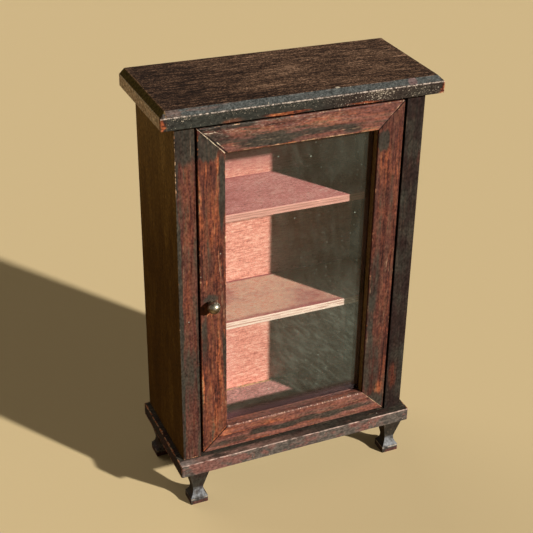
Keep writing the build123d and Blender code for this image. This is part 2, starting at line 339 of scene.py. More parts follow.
def mitre_line(board, colour, corner, slope, shade, width, gaps):
    """A thin broken line along the mitre that runs from a corner of the door at 45 degrees."""
    across = board.minus(board.z, corner[1])
    along = board.times(board.minus(board.x, corner[0]), slope)
    wobble = board.times(board.minus(board.rub, 0.5), 1.2)
    off = board.absolute(board.total(across, board.times(along, -1.0), wobble))
    broken = board.rise(board.rub, gaps - 0.05, gaps + 0.05)
    return board.paint(colour, shade, board.rise(off, width, width * 0.45), broken, 0.9)


def stained_wood(node, grain, seed, bare=(), dark=(), worn=(), redness=0.45, darkness=0.45,
                 wear=0.5, haze=0.0, scratched=0.3, green=0.0, specular=0.2, rough=0.34,
                 mitres=(), extra=None):
    """Reddish wood under a near-black stain that has worn through. bare, dark and worn are
    spots where the wood shows lighter, where the stain is whole, and where arrises are rubbed.
    extra is a function that adds what only this board has."""
    board = Board(node, grain, seed)
    colour = reddish_wood(board, bare, redness, haze)
    colour = under_stain(board, colour, dark, darkness, green)
    colour = scratches(board, colour, scratched)
    arris = rubbed_arrises(board, worn, wear)
    rubbed_wood = board.mix(board.rise(board.fibre, 0.42, 0.6), WORN_ORANGE, WORN_ARRIS)
    colour = board.paint(colour, rubbed_wood, arris, 0.80)
    for mitre in mitres:
        colour = mitre_line(board, colour, *mitre)
    colour = board.paint(colour, DUST, board.flecks(4.2, 0.30, 0.16, seed), 0.5)
    if extra:
        colour = extra(board, colour)
    # Painted shade: the door's inner edges behind the glass are made nearly black
    if node.startswith("door_"):
        colour = painted_shade_behind_glass(board, colour)
    speckle = board.noise(board.fleck_place, 0.80, seed + 9.3, detail=1)
    colour = board.scaled(colour, board.line(speckle, 1.9, -0.02))
    height = board.total(
        board.times(board.fibre, 0.9), board.times(board.grit, 0.45), board.times(arris, -0.6))
    return board.finish(board.out("BsdfPrincipled", {
        "Base Color": colour, "Roughness": board.line(board.grit, 0.30, rough),
        "Normal": board.bump(height, 0.35, 0.16), "Specular IOR Level": specular}))


# ---- The door ----
# Painted shade for the door's inner edges behind the glass
SHADE_BEHIND_GLASS = srgb(34, 18, 20)
# Painted shade (dark red) and painted bounced light (olive) on the right stile's inner edge
REVEAL_SHADE_RED, REVEAL_BOUNCE_OLIVE = srgb(62, 16, 10), srgb(146, 120, 66)
REVEAL_TURN = CASE_FRONT + 1.1
RAIL_DUST = srgb(230, 196, 176)
PALE_CRACK = srgb(240, 222, 190)
# How far below the door's top the scratches lie
SCRATCH_DROP = 2.2
FINE_SCRATCHES_DROP = (6.2, 3.2)
# Lines along a mitre, each with its corner, slope, shade and width, and how broken it is
TOP_LEFT_MITRES = [
    ((DOOR_LEFT, DOOR_TOP + 0.8), -1, CRACK_AND_GAP_SHADE, 0.56, 0.30),
    ((DOOR_LEFT, DOOR_TOP), -1, PALE_CRACK, 0.24, 0.45),
    ((DOOR_LEFT, DOOR_TOP + 1.6), -1, PALE_CRACK, 0.22, 0.57)]
TOP_RIGHT_MITRES = [
    ((DOOR_RIGHT, DOOR_TOP), 1, CRACK_AND_GAP_SHADE, 0.50, 0.34),
    ((DOOR_RIGHT, DOOR_TOP + 0.7), 1, WORN_ARRIS, 0.26, 0.50),
    ((DOOR_RIGHT, DOOR_TOP - 0.7), 1, WORN_ARRIS, 0.22, 0.58)]
BOTTOM_LEFT_MITRES = [
    ((DOOR_LEFT, DOOR_BOTTOM), 1, CRACK_AND_GAP_SHADE, 0.50, 0.34),
    ((DOOR_LEFT, DOOR_BOTTOM + 1.0), 1, WORN_ORANGE, 0.26, 0.48)]
BOTTOM_RIGHT_MITRES = [((DOOR_RIGHT, DOOR_BOTTOM), -1, WORN_ARRIS, 0.26, 0.50)]


def painted_shade_behind_glass(tree, colour):
    """Painted shade: the door's inner edges behind the glass are painted nearly black."""
    half_width, low, high = -stile_high[0], lower_rail_high[2], rail_low[2]
    half_height = (high - low) / 2
    off_middle = tree.absolute(tree.minus(tree.z, (low + high) / 2))
    return tree.paint(
        colour, SHADE_BEHIND_GLASS,
        tree.rise(tree.absolute(tree.x), half_width + 0.3, half_width + 0.1),
        tree.rise(off_middle, half_height + 0.3, half_height + 0.1),
        tree.rise(tree.y, GLASS_BACK - 0.2, GLASS_BACK), 0.92)


def right_reveal_painted_light(tree, colour):
    """Painted light and shade on the right stile's inner edge: dark red painted shade at its
    front, and olive painted bounced light by the glass.
    """
    edge = tree.rise(tree.x, right_stile_low[0] + 0.3, right_stile_low[0] + 0.1)
    turn = tree.rise(tree.y, REVEAL_TURN - 0.25, REVEAL_TURN + 0.25)
    shade = tree.mix(turn, REVEAL_SHADE_RED, REVEAL_BOUNCE_OLIVE)
    return tree.paint(colour, shade, edge, tree.rise(tree.y, CASE_FRONT + 0.1, CASE_FRONT + 0.3))


def dusty_arris(tree, colour):
    """Pale crumbs of dust along the bottom rail's upper front arris."""
    at_front = tree.rise(tree.y, lower_rail_low[1] + 0.7, lower_rail_low[1] + 0.4)
    crumbs = tree.add("TexVoronoi", {"W": tree.times(tree.x, 1 / 9.0)}, voronoi_dimensions="1D")
    dots = tree.rise(crumbs.outputs["Distance"], 0.07, 0.03)
    broken = tree.noise(tree.place, 1.4, 9.2, detail=4, roughness=0.75)
    thin = tree.times(tree.rise(broken, 0.48, 0.64), 0.30)
    return tree.paint(
        colour, RAIL_DUST,
        tree.near(tree.z, lower_rail_high[2], 0.6), at_front, tree.larger(dots, thin))


def rail_scratches(tree, colour):
    """Cream scratches under the top rail's upper arris, strongest at its left end."""
    wave = tree.noise(tree.drawn("x", 6.0), 1.6, 12.4, detail=3, roughness=0.7)
    hair = tree.noise(tree.drawn("x", 5.0), 0.50, 12.9, detail=2, roughness=0.8)
    drift = tree.times(tree.minus(wave, 0.5), 3.0)
    height = tree.math("ADD", tree.z, drift)
    bold = tree.times(
        tree.near(height, DOOR_TOP - SCRATCH_DROP, 0.55), tree.rise(tree.x, -24, -34))
    low, high = (DOOR_TOP - drop for drop in FINE_SCRATCHES_DROP)
    fine = tree.times(tree.rise(tree.z, low, high), tree.rise(tree.x, 26, 14), 0.22)
    return tree.paint(colour, CREAM, tree.rise(hair, 0.52, 0.62), tree.larger(bold, fine), 0.8)


# ---- The top board ----
DRY_WOOD = [
    (0.0, srgb(34, 24, 20)), (0.3, srgb(62, 45, 36)), (0.5, srgb(88, 66, 51)),
    (0.75, srgb(120, 91, 72)), (1.0, srgb(162, 129, 105))]
FLAT_SHADES = [
    above(-24, -18, 32, 4.5, -0.16), above(48, -17, 9, 6, -0.14),
    above(-46, 2, 18, 24, -0.20), above(-40, -4, 12, 6, -0.06), above(-3, 1, 16, 5, 0.10),
    above(-9, -10.5, 14, 2.2, 0.14), above(24, 12, 26, 10, 0.05)]
FLAT_CHIP = [above(12.4, -20.9, 0.9, 0.8, 1.0)]
# Painted sheen: the grey reflection of the sky on the top's front bevel
SHEEN_DARK, SHEEN_PALE = srgb(58, 62, 61), srgb(95, 98, 97)
BEVEL_PINKISH = srgb(138, 104, 92)
BEVEL_PINKISH_SPOTS = [front(-52.5, 177.0, 3.0, 2.0, 0.25), front(-38, 177.6, 9.0, 0.8, 0.10)]
BEVEL_PINK = srgb(170, 110, 108)
BEVEL_PINK_SPOT = [front(43.5, 177.0, 1.9, 1.3, 1.0)]
LEFT_BEVEL = srgb(84, 70, 30)
# Painted reflection of the lit floor on the top's left end
LEFT_END_SHEEN = srgb(240, 226, 186)
LEFT_LINE = srgb(168, 128, 84)
SLATE = srgb(54, 56, 51)
SLATE_BROWN = srgb(54, 44, 39)
FRONT_REDS = [
    front(-8, 172.0, 10, 1.6, 0.85), front(23, 171.8, 8, 0.9, 0.7), front(-30, 171.6, 5, 0.7, 0.5),
    front(50, 172.6, 8, 2.4, 0.55)]
FRONT_CRUMBS = [
    front(29.5, 174.2, 6, 1.8, 0.08), front(24, 172, 14, 1.4, 0.05),
    front(-50, 175, 5, 1.2, 0.06), front(48, 173, 7, 2, 0.06), front(5, 174.8, 50, 1.0, 0.05)]
BEVEL_FOOT_LINE = srgb(228, 208, 194)


def top_finish(tree, colour):
    """The top board's own wear, face by face, with a painted sheen on its front bevel and a
    painted reflection on its left end.
    """
    grit = tree.noise(tree.drawn("x", 1.3), 0.52, 4.2, detail=1, roughness=0.8)
    fibre = tree.noise(tree.drawn("x", 9.0), 0.70, 5.9, detail=3, roughness=0.75)
    colour = top_flat(tree, colour, grit, fibre)
    colour = top_front_bevel(tree, colour, grit, fibre)
    colour = top_left_end(tree, colour, fibre)
    return top_front(tree, colour)


def top_flat(tree, colour, grit, fibre):
    """The dry, mottled brown upper face, with one pale chip."""
    cloud = tree.noise(tree.drawn("x", 2.0), 9.0, 7.7, detail=3)
    mottle = tree.total(
        -2.27, tree.times(grit, 2.0), tree.times(fibre, 2.6), tree.times(cloud, 0.80),
        tree.patches(FLAT_SHADES))
    flat = tree.rise(tree.z, top_high[2] - 0.12, top_high[2] - 0.02)
    colour = tree.paint(colour, tree.ramp(mottle, DRY_WOOD), flat)
    return tree.paint(colour, CREAM, tree.patches(FLAT_CHIP), flat, 0.8)


def top_front_bevel(tree, colour, grit, fibre):
    """The front bevel, with a painted grey sheen that stands for the sky's reflection, pinkish
    parts and pale flecks.
    """
    on_bevel = tree.times(
        tree.rise(tree.y, BEVEL_BACK + 0.02, BEVEL_BACK - 0.10),
        tree.rise(tree.z, BEVEL_FOOT - 0.05, BEVEL_FOOT + 0.1),
        tree.rise(tree.absolute(tree.x), top_high[0] - 0.6, top_high[0] - TOP_BEVEL))
    # Painted sheen, standing for the sky's reflection
    sky_sheen = tree.mix(tree.rise(grit, 0.30, 0.70), SHEEN_DARK, SHEEN_PALE)
    pinkish = tree.total(fibre, tree.patches(BEVEL_PINKISH_SPOTS))
    sky_sheen = tree.paint(sky_sheen, BEVEL_PINKISH, tree.rise(pinkish, 0.54, 0.74, top=0.4))
    colour = tree.paint(colour, sky_sheen, on_bevel, 0.92)
    pink = tree.patches(BEVEL_PINK_SPOT, softness=0.2)
    colour = tree.paint(colour, BEVEL_PINK, pink, on_bevel, 0.22)
    return tree.paint(colour, CREAM, tree.flecks(2.6, 0.32, 0.25, 3.0), on_bevel, 0.6)


def top_left_end(tree, colour, fibre):
    """The left end, olive on its bevel and pale at its outermost edge, which is a painted
    reflection of the lit floor.
    """
    on_left = tree.times(
        tree.rise(tree.x, LEFT_BEVEL_END + 0.02, LEFT_BEVEL_END - 0.10),
        tree.rise(tree.z, top_high[2] - 0.1, top_high[2] - 0.3),
        tree.rise(tree.y, BEVEL_BACK - 1.2, BEVEL_BACK - 0.4))
    end = tree.rise(tree.x, top_low[0] + 0.25, top_low[0] + 0.05)
    end_shade = tree.mix(tree.rise(fibre, 0.35, 0.8, top=0.6), LEFT_END_SHEEN, LEFT_BEVEL)
    colour = tree.paint(colour, tree.mix(end, LEFT_BEVEL, end_shade), on_left, 0.9)
    edges = tree.larger(
        tree.near(tree.x, LEFT_BEVEL_END, 0.30), tree.near(tree.x, top_low[0], 0.30))
    return tree.paint(colour, LEFT_LINE, edges, tree.rise(fibre, 0.35, 0.6), 0.5)


def top_front(tree, colour):
    """The dark front face, with red parts, crumbs, and a pale broken line at the bevel's foot."""
    on_front = tree.rise(tree.y, top_low[1] + 0.5, top_low[1] + 0.2)
    not_red = tree.math("SUBTRACT", 1.0, tree.patches(FRONT_REDS), clamp=True)
    off_ends = tree.rise(
        tree.absolute(tree.x), top_high[0] - 1.15, top_high[0] - 2.55, top=0.74)
    slate = tree.mix(tree.rise(tree.x, -6.0, 22.0), SLATE, SLATE_BROWN)
    colour = tree.paint(colour, slate, off_ends, on_front, not_red)
    broken = tree.noise(tree.place, 0.9, 6.4, detail=4, roughness=0.75)
    colour = tree.paint(
        colour, BEVEL_FOOT_LINE,
        tree.near(tree.z, BEVEL_FOOT, 0.29), tree.rise(broken, 0.41, 0.58), on_front, 0.72)
    chipped = tree.noise(tree.place, 0.55, 8.3, detail=2, roughness=0.8)
    crumbs = tree.rise(tree.total(chipped, tree.patches(FRONT_CRUMBS)), 0.64, 0.72)
    return tree.paint(colour, CREAM, crumbs, on_front, 0.60)


# ---- The base board ----
# Painted shadow of the bottom rail on the case floor
RAIL_SHADOW_PLUM = srgb(92, 52, 54)
FLOOR_PINKS = [
    (0.10, srgb(186, 104, 108)), (0.5, srgb(232, 158, 154)), (0.90, srgb(255, 206, 200))]
# Painted light leaking through the seam under the back panel
SEAM_LEAKED_LIGHT = srgb(255, 202, 146)
LEDGE_BLOOM = srgb(172, 132, 120)
LEDGE_CORNER = srgb(140, 136, 132)
BASE_SLATE_DARK, BASE_SLATE_PALE = srgb(78, 74, 69), srgb(114, 103, 95)
BASE_BLOTCH = srgb(150, 92, 82)
BASE_SCRAPE = srgb(160, 88, 70)
BASE_ARRIS = srgb(206, 178, 166)
BASE_REDS = [front(-36, 19, 16, 3, 0.10), front(38, 19, 16, 3, 0.05)]


def base_finish(tree, colour):
    """The base board's own wear: its upper face inside the case and before it, and its front."""
    upper_face = tree.rise(tree.z, FLOOR_LEVEL - 0.15, FLOOR_LEVEL - 0.05)
    colour = case_floor(tree, colour, upper_face)
    colour = base_ledge(tree, colour, upper_face)
    return base_front(tree, colour)


def case_floor(tree, colour, upper_face):
    """The floor inside the case: plum behind the door, a painted shadow of the bottom rail, then
    the same pink wash as the shelves, with painted light leaking through the seam along the back
    panel."""
    between_sides = tree.rise(tree.absolute(tree.x), INNER_HALF_WIDTH, INNER_HALF_WIDTH - 0.2)
    floor_face = tree.times(between_sides, upper_face)
    behind_door = tree.times(tree.rise(tree.y, DOOR_BACK, DOOR_BACK + 2.0), floor_face)
    # The pink wash starts where the rail's painted shadow ends
    washed = tree.times(tree.rise(tree.y, DOOR_BACK + 18.0, DOOR_BACK + 23.0), floor_face)
    colour = tree.paint(colour, RAIL_SHADOW_PLUM, behind_door, 0.85)
    colour = tree.paint(colour, DUST, tree.flecks(2.2, 0.26, 0.45, 7.0), behind_door, 0.5)
    colour = tree.paint(colour, pink_wash(tree, FLOOR_PINKS, 33.0, 0.45)[0], washed)
    broken = tree.noise(tree.drawn("x", 4.0), 0.8, 2.9, detail=2)
    return tree.paint(
        colour, SEAM_LEAKED_LIGHT,
        tree.near(tree.y, back_low[1] - 0.7, 0.9), tree.rise(broken, 0.36, 0.54), washed, 0.9)


def base_ledge(tree, colour, upper_face):
    """The ledge before the case, bloomed at its left and greyer at its left corner."""
    ledge = tree.times(tree.rise(tree.y, CASE_FRONT - 0.1, CASE_FRONT - 1.6), upper_face)
    cloud = tree.noise(tree.drawn("x", 3.0), 2.4, 6.1, detail=3)
    bloom = tree.times(tree.rise(cloud, 0.30, 0.65), tree.rise(tree.x, 20, -36, top=0.70))
    colour = tree.paint(colour, LEDGE_BLOOM, ledge, bloom)
    return tree.paint(colour, LEDGE_CORNER, ledge, tree.rise(tree.x, -44, -50, top=0.55))


def base_front(tree, colour):
    """The front face: slate, with red blotches, slanting scrapes, chips and a pale arris."""
    on_front = tree.rise(tree.y, base_low[1] + 0.4, base_low[1] + 0.2)
    reds = tree.patches(BASE_REDS)
    grit = tree.noise(tree.drawn("x", 3.5), 1.0, 8.8, detail=2, roughness=0.7)
    slate = tree.mix(tree.rise(grit, 0.30, 0.70), BASE_SLATE_DARK, BASE_SLATE_PALE)
    cloud = tree.noise(tree.drawn("x", 1.6), 4.4, 4.6, detail=3, roughness=0.65)
    blotch = tree.rise(tree.total(cloud, reds), 0.48, 0.64, top=0.55)
    slate = tree.paint(slate, BASE_BLOTCH, blotch)
    colour = tree.paint(colour, slate, on_front, 0.85)
    slanted = tree.vector("MULTIPLY", tree.place, (1 / 0.9, 0, 1 / 7.0))
    scrape = tree.noise(slanted, 1.0, 3.4, detail=2, distortion=0.6)
    scrape = tree.rise(tree.total(scrape, reds), 0.68, 0.78)
    colour = tree.paint(colour, BASE_SCRAPE, scrape, on_front, 0.35)
    colour = tree.paint(colour, CREAM, tree.flecks(2.4, 0.26, 0.35, 4.0), on_front, 0.5)
    return tree.paint(
        colour, BASE_ARRIS,
        tree.near(tree.z, base_high[2], 0.55), on_front, tree.rise(grit, 0.34, 0.56), 0.8)


# ---- The feet and the side boards ----
# Painted sheen: the sky's reflection on the feet's flared pads
PAD_PAINTED_SHEEN = srgb(148, 152, 158)
PAD_MIDDLE = 4.8
PAD_RIM = srgb(118, 62, 56)
RIM_TOP = 2.0
RIM_LINE = 2.6
SIDE_BROWNS = [
    (0.0, srgb(46, 26, 4)), (0.4, srgb(82, 54, 14)), (0.7, srgb(122, 92, 40)),
    (1.0, srgb(160, 128, 70))]
SIDE_TOP_PAINTED_LIGHT = srgb(124, 108, 68)


def foot_finish(tree, colour):
    """A foot's scuffed pad, with a painted milky sheen, a reflection of the sky, above a reddish
    rim.
    Its left face, turned from the light, has no painted sheen.
    """
    cloud = tree.noise(tree.place, 2.4, 2.7, detail=3)
    facing = tree.axes(tree.add("TexCoord", {}).outputs["Normal"])[0]
    colour = tree.paint(
        colour, PAD_PAINTED_SHEEN,
        tree.near(tree.z, PAD_MIDDLE, 3.6), tree.rise(cloud, 0.30, 0.6),
        tree.rise(facing, -0.7, -0.3), 0.60)
    rim = tree.rise(tree.z, RIM_TOP, RIM_TOP - 0.8)
    colour = tree.paint(colour, PAD_RIM, rim, tree.rise(cloud, 0.40, 0.55), 0.42)
    return tree.paint(
        colour, CREAM, tree.near(tree.z, RIM_LINE, 0.4), tree.rise(cloud, 0.44, 0.56), 0.55)


def side_board(tree, colour):
    """A side board's thinly stained brown outer face, and its inner face by the door. Painted
    light
    and shade: the outer face is lighter towards the top and darker on the right board, and the
    inner face by the door is painted black as the gap's shade."""
    across = tree.absolute(tree.x)
    fibre = tree.noise(tree.drawn("z", 9.0), 0.9, 14.0, detail=3, roughness=0.75)
    streak = tree.noise(tree.drawn("z", 5.0), 6.0, 15.0, detail=3, distortion=0.5)
    # Painted light: the brown is made lighter towards the top
    lighter = tree.rise(tree.z, 90, 172, top=0.30)
    value = tree.total(-0.42, tree.times(fibre, 0.9), tree.times(streak, 0.7), lighter)
    brown = tree.ramp(value, SIDE_BROWNS)
    # Painted light and shade: the right board is painted darker than the left
    brown = tree.paint(brown, STAIN_BROWN_BLACK, tree.rise(tree.x, -1, 1, top=0.45))
    # Painted light: a paler brown towards the top
    brown = tree.paint(brown, SIDE_TOP_PAINTED_LIGHT, tree.rise(tree.z, 138, 172, top=0.30))
    outer = tree.rise(across, OUTER_HALF_WIDTH - 0.25, OUTER_HALF_WIDTH - 0.05)
    colour = tree.paint(colour, brown, outer, 0.95)
    # Painted shade: the inner face in the gap beside the door is painted black
    return tree.paint(
        colour, CRACK_AND_GAP_SHADE,
        tree.rise(across, INNER_HALF_WIDTH + 0.2, INNER_HALF_WIDTH + 0.05),
        tree.rise(tree.y, DOOR_BACK + 1.0, DOOR_BACK - 0.5))


# ---- The stained boards' looks, as stained_wood takes them ----
FOOT_LOOK = dict(grain="z", redness=0.30, darkness=0.85, wear=0.3, extra=foot_finish)
WOOD = {
    "top_board": dict(
        grain="x", redness=0.30, darkness=0.80, wear=0.34, specular=0.06, rough=0.60,
        extra=top_finish,
        bare=[front(-56.3, 173.6, 1.2, 2.4, 0.6), front(56.5, 173.0, 1.2, 2.4, 0.3),
              front(-9, 171.8, 9, 1.2, 0.5), front(23, 171.8, 9, 1.0, 0.4),
              front(-30, 171.6, 5, 0.7, 0.35)],
        dark=[((0, top_low[1], 174.8), (60, 0.8, 2.2), 0.45), front(-9, 171.9, 9, 1.0, -0.7),
              front(23, 171.8, 8, 0.9, -0.6), front(-30, 171.6, 5, 0.7, -0.4),
              front(-56.6, 173.4, 0.9, 2.4, -0.8), front(56.6, 173, 1.0, 2.4, -0.5)],
        worn=[front(57, 173, 3, 5, 0.2)]),
    "base_board": dict(
        grain="x", redness=0.36, darkness=0.80, wear=0.30, haze=0.45, specular=0.06, rough=0.60,
        extra=base_finish,
        worn=[front(-53.7, 20, 2.0, 5, 0.22), front(53.7, 20, 3, 5, 0.2)]),
    "left_side_panel": dict(
        grain="z", redness=0.40, darkness=0.46, wear=0.36, scratched=0.15, green=0.12,
        haze=0.15, specular=0.08, extra=side_board,
        dark=[front(-47.5, 166, 4.5, 9, 0.8), front(-51.0, 110, 0.9, 60, 0.5),
              front(-50.4, 70, 0.7, 40, 0.25), front(-44.0, 60, 0.7, 40, 0.2),
              front(-50.9, 44, 0.8, 26, 0.40), front(-47.5, 62, 4.5, 12, 0.12)],
        bare=[front(-46.9, 140, 2.6, 22, 0.16), front(-46.9, 105, 2.4, 30, 0.10)],
        worn=[front(-51.3, 158, 0.8, 16, 0.17), front(-47.6, 22.6, 2.4, 1.2, 0.16)]),
    "right_side_panel": dict(
        grain="z", redness=0.30, darkness=1.02, wear=0.30, scratched=0.08, green=-0.16,
        specular=0.08, extra=side_board,
        bare=[front(46.5, 40, 2.2, 7, 0.38), front(46, 140, 2, 16, 0.15)],
        dark=[front(46.5, 39, 2.3, 8, -0.36), front(50.5, 144, 1.0, 4, -0.5),
              front(46.5, 110, 2.0, 12, -0.15)]),
    "foot_front_left": FOOT_LOOK,
    "foot_front_right": FOOT_LOOK,
    "foot_back_left": FOOT_LOOK,
    "foot_back_right": FOOT_LOOK,
    "door_left_stile": dict(
        grain="z", redness=0.48, darkness=0.40, wear=0.42, haze=0.08,
        mitres=TOP_LEFT_MITRES + BOTTOM_LEFT_MITRES,
        dark=[front(-38.5, 161.5, 4.6, 5.2, 0.95), front(-32.9, 142, 1.2, 13, 0.95),
              front(-41.0, 78, 1.4, 10, 0.30), front(-38.5, 97.3, 3, 1.6, 0.35),
              front(-32.6, 66, 0.8, 14, 0.4), front(-38.4, 112, 1.2, 10, 0.12)],
        bare=[front(-34.8, 154.5, 0.9, 4.0, 0.38), front(-39.6, 151, 0.8, 4, 0.35),
              front(-35.2, 146, 0.6, 7, 0.22), front(-36.0, 134, 0.7, 10, 0.18),
              front(-42.2, 140, 0.6, 12, 0.34), front(-36.5, 124, 2.0, 14, 0.12),
              front(-35.0, 72, 1.0, 16, 0.30), front(-42.2, 55, 0.7, 8, 0.40),
              front(-36, 34, 3, 7, 0.12), front(-37.5, 48, 4.5, 18, 0.10),
              front(-40.2, 104, 0.4, 1.6, 0.4),
              front(-34.6, 111, 0.3, 0.9, 0.5), front(-38.6, 90.2, 1.8, 0.7, 0.4)]),
    "door_right_stile": dict(
        grain="z", redness=0.42, darkness=0.42, wear=0.40, haze=0.10, extra=right_reveal_painted_light,
        mitres=TOP_RIGHT_MITRES + BOTTOM_RIGHT_MITRES,
        dark=[front(33.9, 153, 2.2, 3.6, 0.80), front(34, 90, 2.4, 12, 0.30),
              front(33.5, 72, 1.8, 14, 0.30), front(38, 28, 4, 4, 0.35),
              front(35.5, 46, 4.0, 14, 0.28)],
        bare=[front(36, 142, 3, 9, 0.20), front(39.5, 35, 2.0, 4, 0.34),
              front(41.2, 130, 0.8, 22, 0.15)]),
    "door_top_rail": dict(
        grain="x", redness=0.46, darkness=0.41, wear=0.42, haze=0.50, scratched=0.55,
        extra=rail_scratches, worn=[front(0, 157.9, 34, 0.8, 0.14)],
        mitres=TOP_LEFT_MITRES + TOP_RIGHT_MITRES,
        dark=[front(-33, 168.0, 12, 1.1, 0.75), front(-35, 163.6, 5.0, 3.0, 0.40),
              front(-22, 162.5, 9, 3.0, 0.16),
              front(-14, 160.4, 11, 1.9, 0.50), front(-14, 163, 5, 1.2, 0.25),
              front(10, 161.4, 14, 1.2, 0.30), front(20, 160, 4, 1.2, 0.35)],
        bare=[front(-20, 164.8, 12, 1.3, 0.28), front(6, 165.4, 9, 1.2, 0.26),
              front(28, 158.9, 4, 1.0, 0.50), front(-27, 160.8, 4, 1.2, 0.18),
              front(22, 164, 16, 3.4, 0.16)]),
    "door_bottom_rail": dict(
        grain="x", redness=0.49, darkness=0.36, wear=0.42, haze=0.50, extra=dusty_arris,
        mitres=BOTTOM_LEFT_MITRES + BOTTOM_RIGHT_MITRES,
        dark=[front(-16, 28.0, 6, 1.5, 0.60), front(-5, 27.0, 6, 1.3, 0.55),
              front(6, 27.9, 5, 1.2, 0.45), front(17, 27.0, 6, 1.4, 0.45),
              front(30, 27.2, 7, 1.6, 0.30), front(-30, 26.0, 9, 1.4, 0.25)],
        bare=[front(-33, 31.0, 3, 1.8, 0.30), front(-12, 31, 12, 1.3, 0.10),
              front(16, 24.6, 22, 0.7, 0.08)]),
}


# ---- Inside: pink boards ----
BOUNCE_SHARE = 0.08
BACK_PINKS = [
    (0.10, srgb(172, 94, 84)), (0.5, srgb(234, 150, 134)), (0.90, srgb(255, 204, 184))]
UPPER_SHELF_PINKS = [
    (0.10, srgb(176, 90, 96)), (0.5, srgb(236, 148, 146)), (0.90, srgb(255, 202, 196))]
LOWER_SHELF_PINKS = [
    (0.10, srgb(246, 138, 122)), (0.5, srgb(255, 193, 170)), (0.90, srgb(255, 224, 200))]
RAW_BOARD, RAW_DARK = srgb(176, 134, 104), srgb(134, 96, 70)
BACK_DULL, BACK_LIT = srgb(166, 102, 100), srgb(250, 176, 176)
BACK_LIT_SPOT = [front(-32, 38, 14, 26, 1.0)]
MAUVE = srgb(190, 92, 98)
SHELF_STRETCH = 2.5
# Each shelf's mauve spots include painted shade: a strip along its front and a line at the back
# panel
SHELVES = {
    "upper_shelf": dict(
        pinks=UPPER_SHELF_PINKS, seed=20.0, contrast=0.85,
        edge=srgb(226, 166, 154), ply=srgb(168, 112, 102),
        stains_and_shade=[above(-26, 8, 16, 14, 0.25), above(0, -8.8, 60, 1.6, 0.15),
                above(0, 21.9, 60, 0.9, 0.35)]),
    "lower_shelf": dict(
        pinks=LOWER_SHELF_PINKS, seed=29.0, contrast=0.80,
        edge=srgb(255, 230, 216), ply=srgb(180, 108, 94),
        stains_and_shade=[above(13, -2, 9, 8, 0.38), above(0, -9.0, 60, 1.6, 0.40),
                above(-28, 12, 16, 11, 0.30), above(0, 21.9, 60, 0.9, 0.55)]),
}


def pink_wash(tree, pinks, seed, contrast, stretch=6.0):
    """The colour of a thin pink wash over fine straight grain, and the grain itself."""
    grain_place = tree.drawn("x", stretch)
    fibre = tree.noise(grain_place, 0.60, seed, detail=1, roughness=0.7)
    streak = tree.noise(grain_place, 2.0, seed + 1.7, detail=4, distortion=0.3)
    cloud = tree.noise(tree.place, 11.0, seed + 4.1)
    grit = tree.noise(tree.place, 0.7, seed + 5.3, detail=1, roughness=0.8)
    value = tree.total(
        -1.55, tree.times(fibre, 1.4), tree.times(streak, 0.40), tree.times(cloud, 0.35),
        tree.times(grit, 1.0))
    return tree.ramp(tree.line(value, contrast, 0.5), pinks), fibre


def pink_board(node, pinks, seed, contrast, extra, stretch=6.0):
    """A pink board, which is darker to light that has bounced off another face."""
    tree = MaterialTree("pink_" + node)
    colour, fibre = pink_wash(tree, pinks, seed, contrast, stretch)
    colour = extra(tree, colour)
    bounced = tree.mix(BOUNCE_SHARE, BLACK, colour)
    colour = tree.mix(tree.rays()["Is Diffuse Ray"], colour, bounced)
    return tree.finish(tree.out("BsdfPrincipled", {
        "Base Color": colour, "Roughness": 0.62, "Normal": tree.bump(fibre, 0.35, 0.10),
        "Specular IOR Level": 0.2}))


def back_faces(tree, colour):
    """The back panel, duller at its top, with a nearly raw outer face."""
    dull = tree.rise(tree.z, UPPER_SHELF_TOP - 4, UPPER_SHELF_TOP + 8)
    colour = tree.paint(colour, BACK_DULL, dull, 0.72)
    colour = tree.paint(colour, BACK_LIT, tree.patches(BACK_LIT_SPOT, softness=0.9), 0.45)
    outside = tree.rise(tree.y, back_high[1] - 0.3, back_high[1] - 0.1)
    fibre = tree.noise(tree.drawn("x", 8.0), 0.8, 3.9, detail=3, roughness=0.7)
    raw = tree.mix(tree.rise(fibre, 0.30, 0.70), RAW_DARK, RAW_BOARD)
    return tree.paint(colour, raw, outside, 0.9)


def shelf(node, pinks, seed, contrast, edge, ply, stains_and_shade):
    """A pink shelf with mauve stain spots, painted mauve shade along its front and back edges, and
    a front edge where its plies show.
    """
    low, high = span(node)
    middle = (low[2] + high[2]) / 2

    def finish(tree, colour):
        mottle = tree.noise(tree.drawn("x", 1.6), 3.0, 4.4, detail=4, roughness=0.7)
        # Mauve stain spots, and painted shade along the front and back edges
        stain = tree.total(tree.patches(stains_and_shade, softness=0.9), mottle, -0.55)
        colour = tree.paint(colour, MAUVE, tree.rise(stain, -0.12, 0.60))
        fibre = tree.noise(tree.drawn("x", 14.0), 0.5, 2.0, detail=2)
        lines = tree.larger(
            tree.near(tree.z, middle - 0.30, 0.40), tree.near(tree.z, middle + 0.75, 0.30))
        plies = tree.paint(edge, ply, lines, tree.rise(fibre, 0.3, 0.55), 0.7)
        plies = tree.paint(plies, ply, tree.rise(fibre, 0.4, 0.7, top=0.4))
        return tree.paint(colour, plies, tree.rise(tree.y, low[1] + 0.25, low[1] + 0.05))

    return pink_board(node, pinks, seed, contrast, finish, SHELF_STRETCH)


# ---- Glass ----
CLEAR = (0.98, 0.99, 0.975, 1)
PASSED_LIGHT = (0.97, 0.98, 0.96, 1)
PASSED_BOUNCE = (0.74, 0.82, 0.86, 1)
# Greenish dust, partly a painted reflection of the floor
GLASS_DUST_AND_REFLECTION = (0.64, 0.74, 0.62, 1)
GRIME = srgb(178, 116, 128)
GRIME_TOP = lower_rail_high[2] + 7.1
GRIME_FULL = lower_rail_high[2] + 2.1
GRIME_SPOT = [front(-30, 38, 7, 4, 0.05)]
